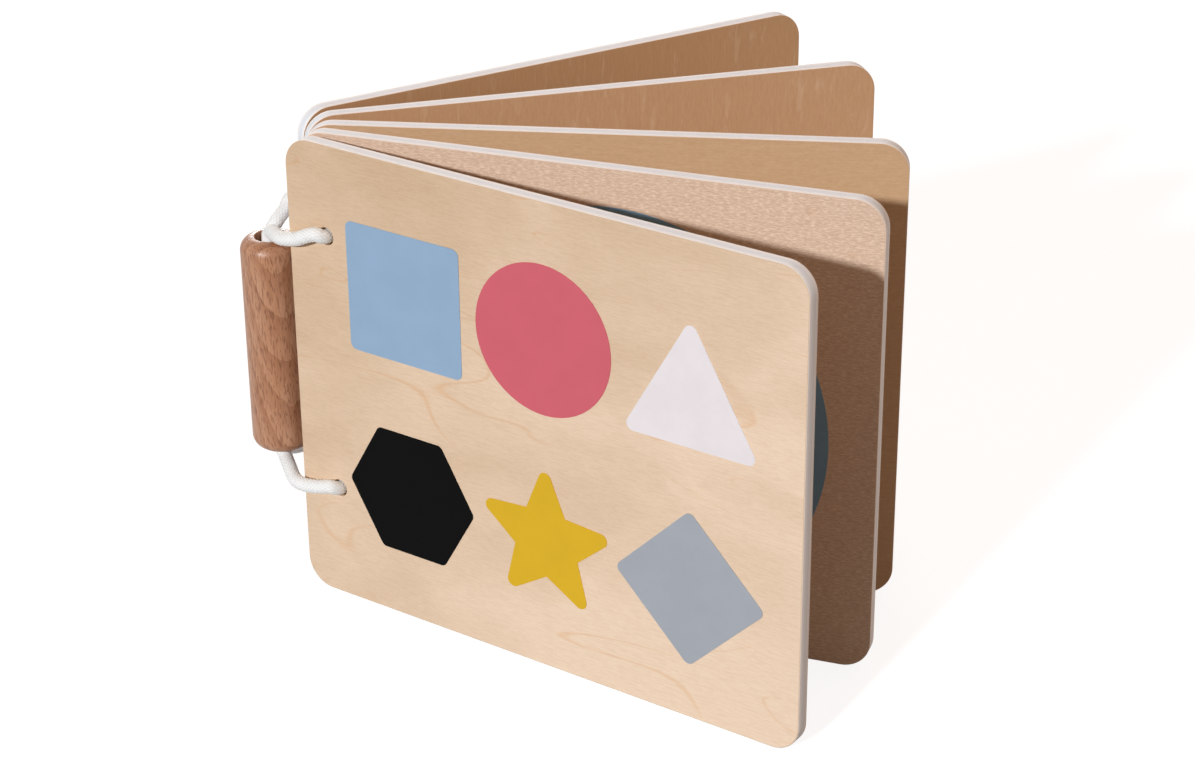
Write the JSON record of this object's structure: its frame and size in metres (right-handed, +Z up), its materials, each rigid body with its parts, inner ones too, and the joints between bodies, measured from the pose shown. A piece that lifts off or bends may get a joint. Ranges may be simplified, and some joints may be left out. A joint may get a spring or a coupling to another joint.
{
  "type": "wooden book",
  "caption": "Toddler's wooden board book of loose plywood leaves strung on a braided cord, with a turned wooden handle at the spine, standing fanned open.",
  "frame": {"origin": "middle of the lower edge of page 2, the middle board, on the surface that the book stands on", "axes": "+Z up; +X along page 2 from the spine to the fore edge; the front cover lies towards -Y and the back cover towards +Y"},
  "size_m": [0.1793, 0.1916, 0.134],
  "materials": {
    "birch_ply": "satin lacquered birch plywood with pale edges",
    "beech": "oiled beech with short dark flecks",
    "cotton_cord": "white braided cord",
    "ink_blue": "matt screen print",
    "ink_red": "matt screen print",
    "ink_white": "matt screen print",
    "ink_black": "matt screen print",
    "ink_yellow": "matt screen print",
    "ink_grey": "matt screen print",
    "ink_slate": "matt screen print"
  },
  "bodies": {
    "cover_leaf": {"front_cover": "birch_ply", "print_square": "ink_blue", "print_circle": "ink_red", "print_triangle": "ink_white", "print_hexagon": "ink_black", "print_star": "ink_yellow", "print_diamond": "ink_grey"},
    "page_1_leaf": {"page_1": "birch_ply", "print_disc": "ink_slate"},
    "page_2_leaf": {"page_2": "birch_ply", "cord": "cotton_cord"},
    "page_3_leaf": {"page_3": "birch_ply"},
    "back_leaf": {"back_cover": "birch_ply"},
    "grip": {"handle": "beech"}
  },
  "joints": [
    {"name": "front_cover_turn", "type": "hinge", "parent": "page_1_leaf", "child": "cover_leaf", "pos_m": [-0.08101, -0.00663, 0.067], "axis": [0, 0, -1], "range_deg": [-15, 15], "deforming": ["cord"]},
    {"name": "page_1_turn", "type": "hinge", "parent": "page_2_leaf", "child": "page_1_leaf", "pos_m": [-0.08, -0.00225, 0.067], "axis": [0, 0, -1], "range_deg": [-13, 17], "deforming": ["cord"]},
    {"name": "page_3_turn", "type": "hinge", "parent": "page_2_leaf", "child": "page_3_leaf", "pos_m": [-0.08, 0.00225, 0.067], "axis": [0, 0, 1], "range_deg": [-21, 9], "deforming": ["cord"]},
    {"name": "back_cover_turn", "type": "hinge", "parent": "page_3_leaf", "child": "back_leaf", "pos_m": [-0.08161, 0.00645, 0.067], "axis": [0, 0, 1], "range_deg": [-16, 14], "deforming": ["cord"]},
    {"name": "handle_turn", "type": "hinge", "parent": "page_2_leaf", "child": "grip", "pos_m": [-0.0908, 0, 0.0692], "axis": [0, 0, 1], "range_deg": [-90, 90]}
  ]
}
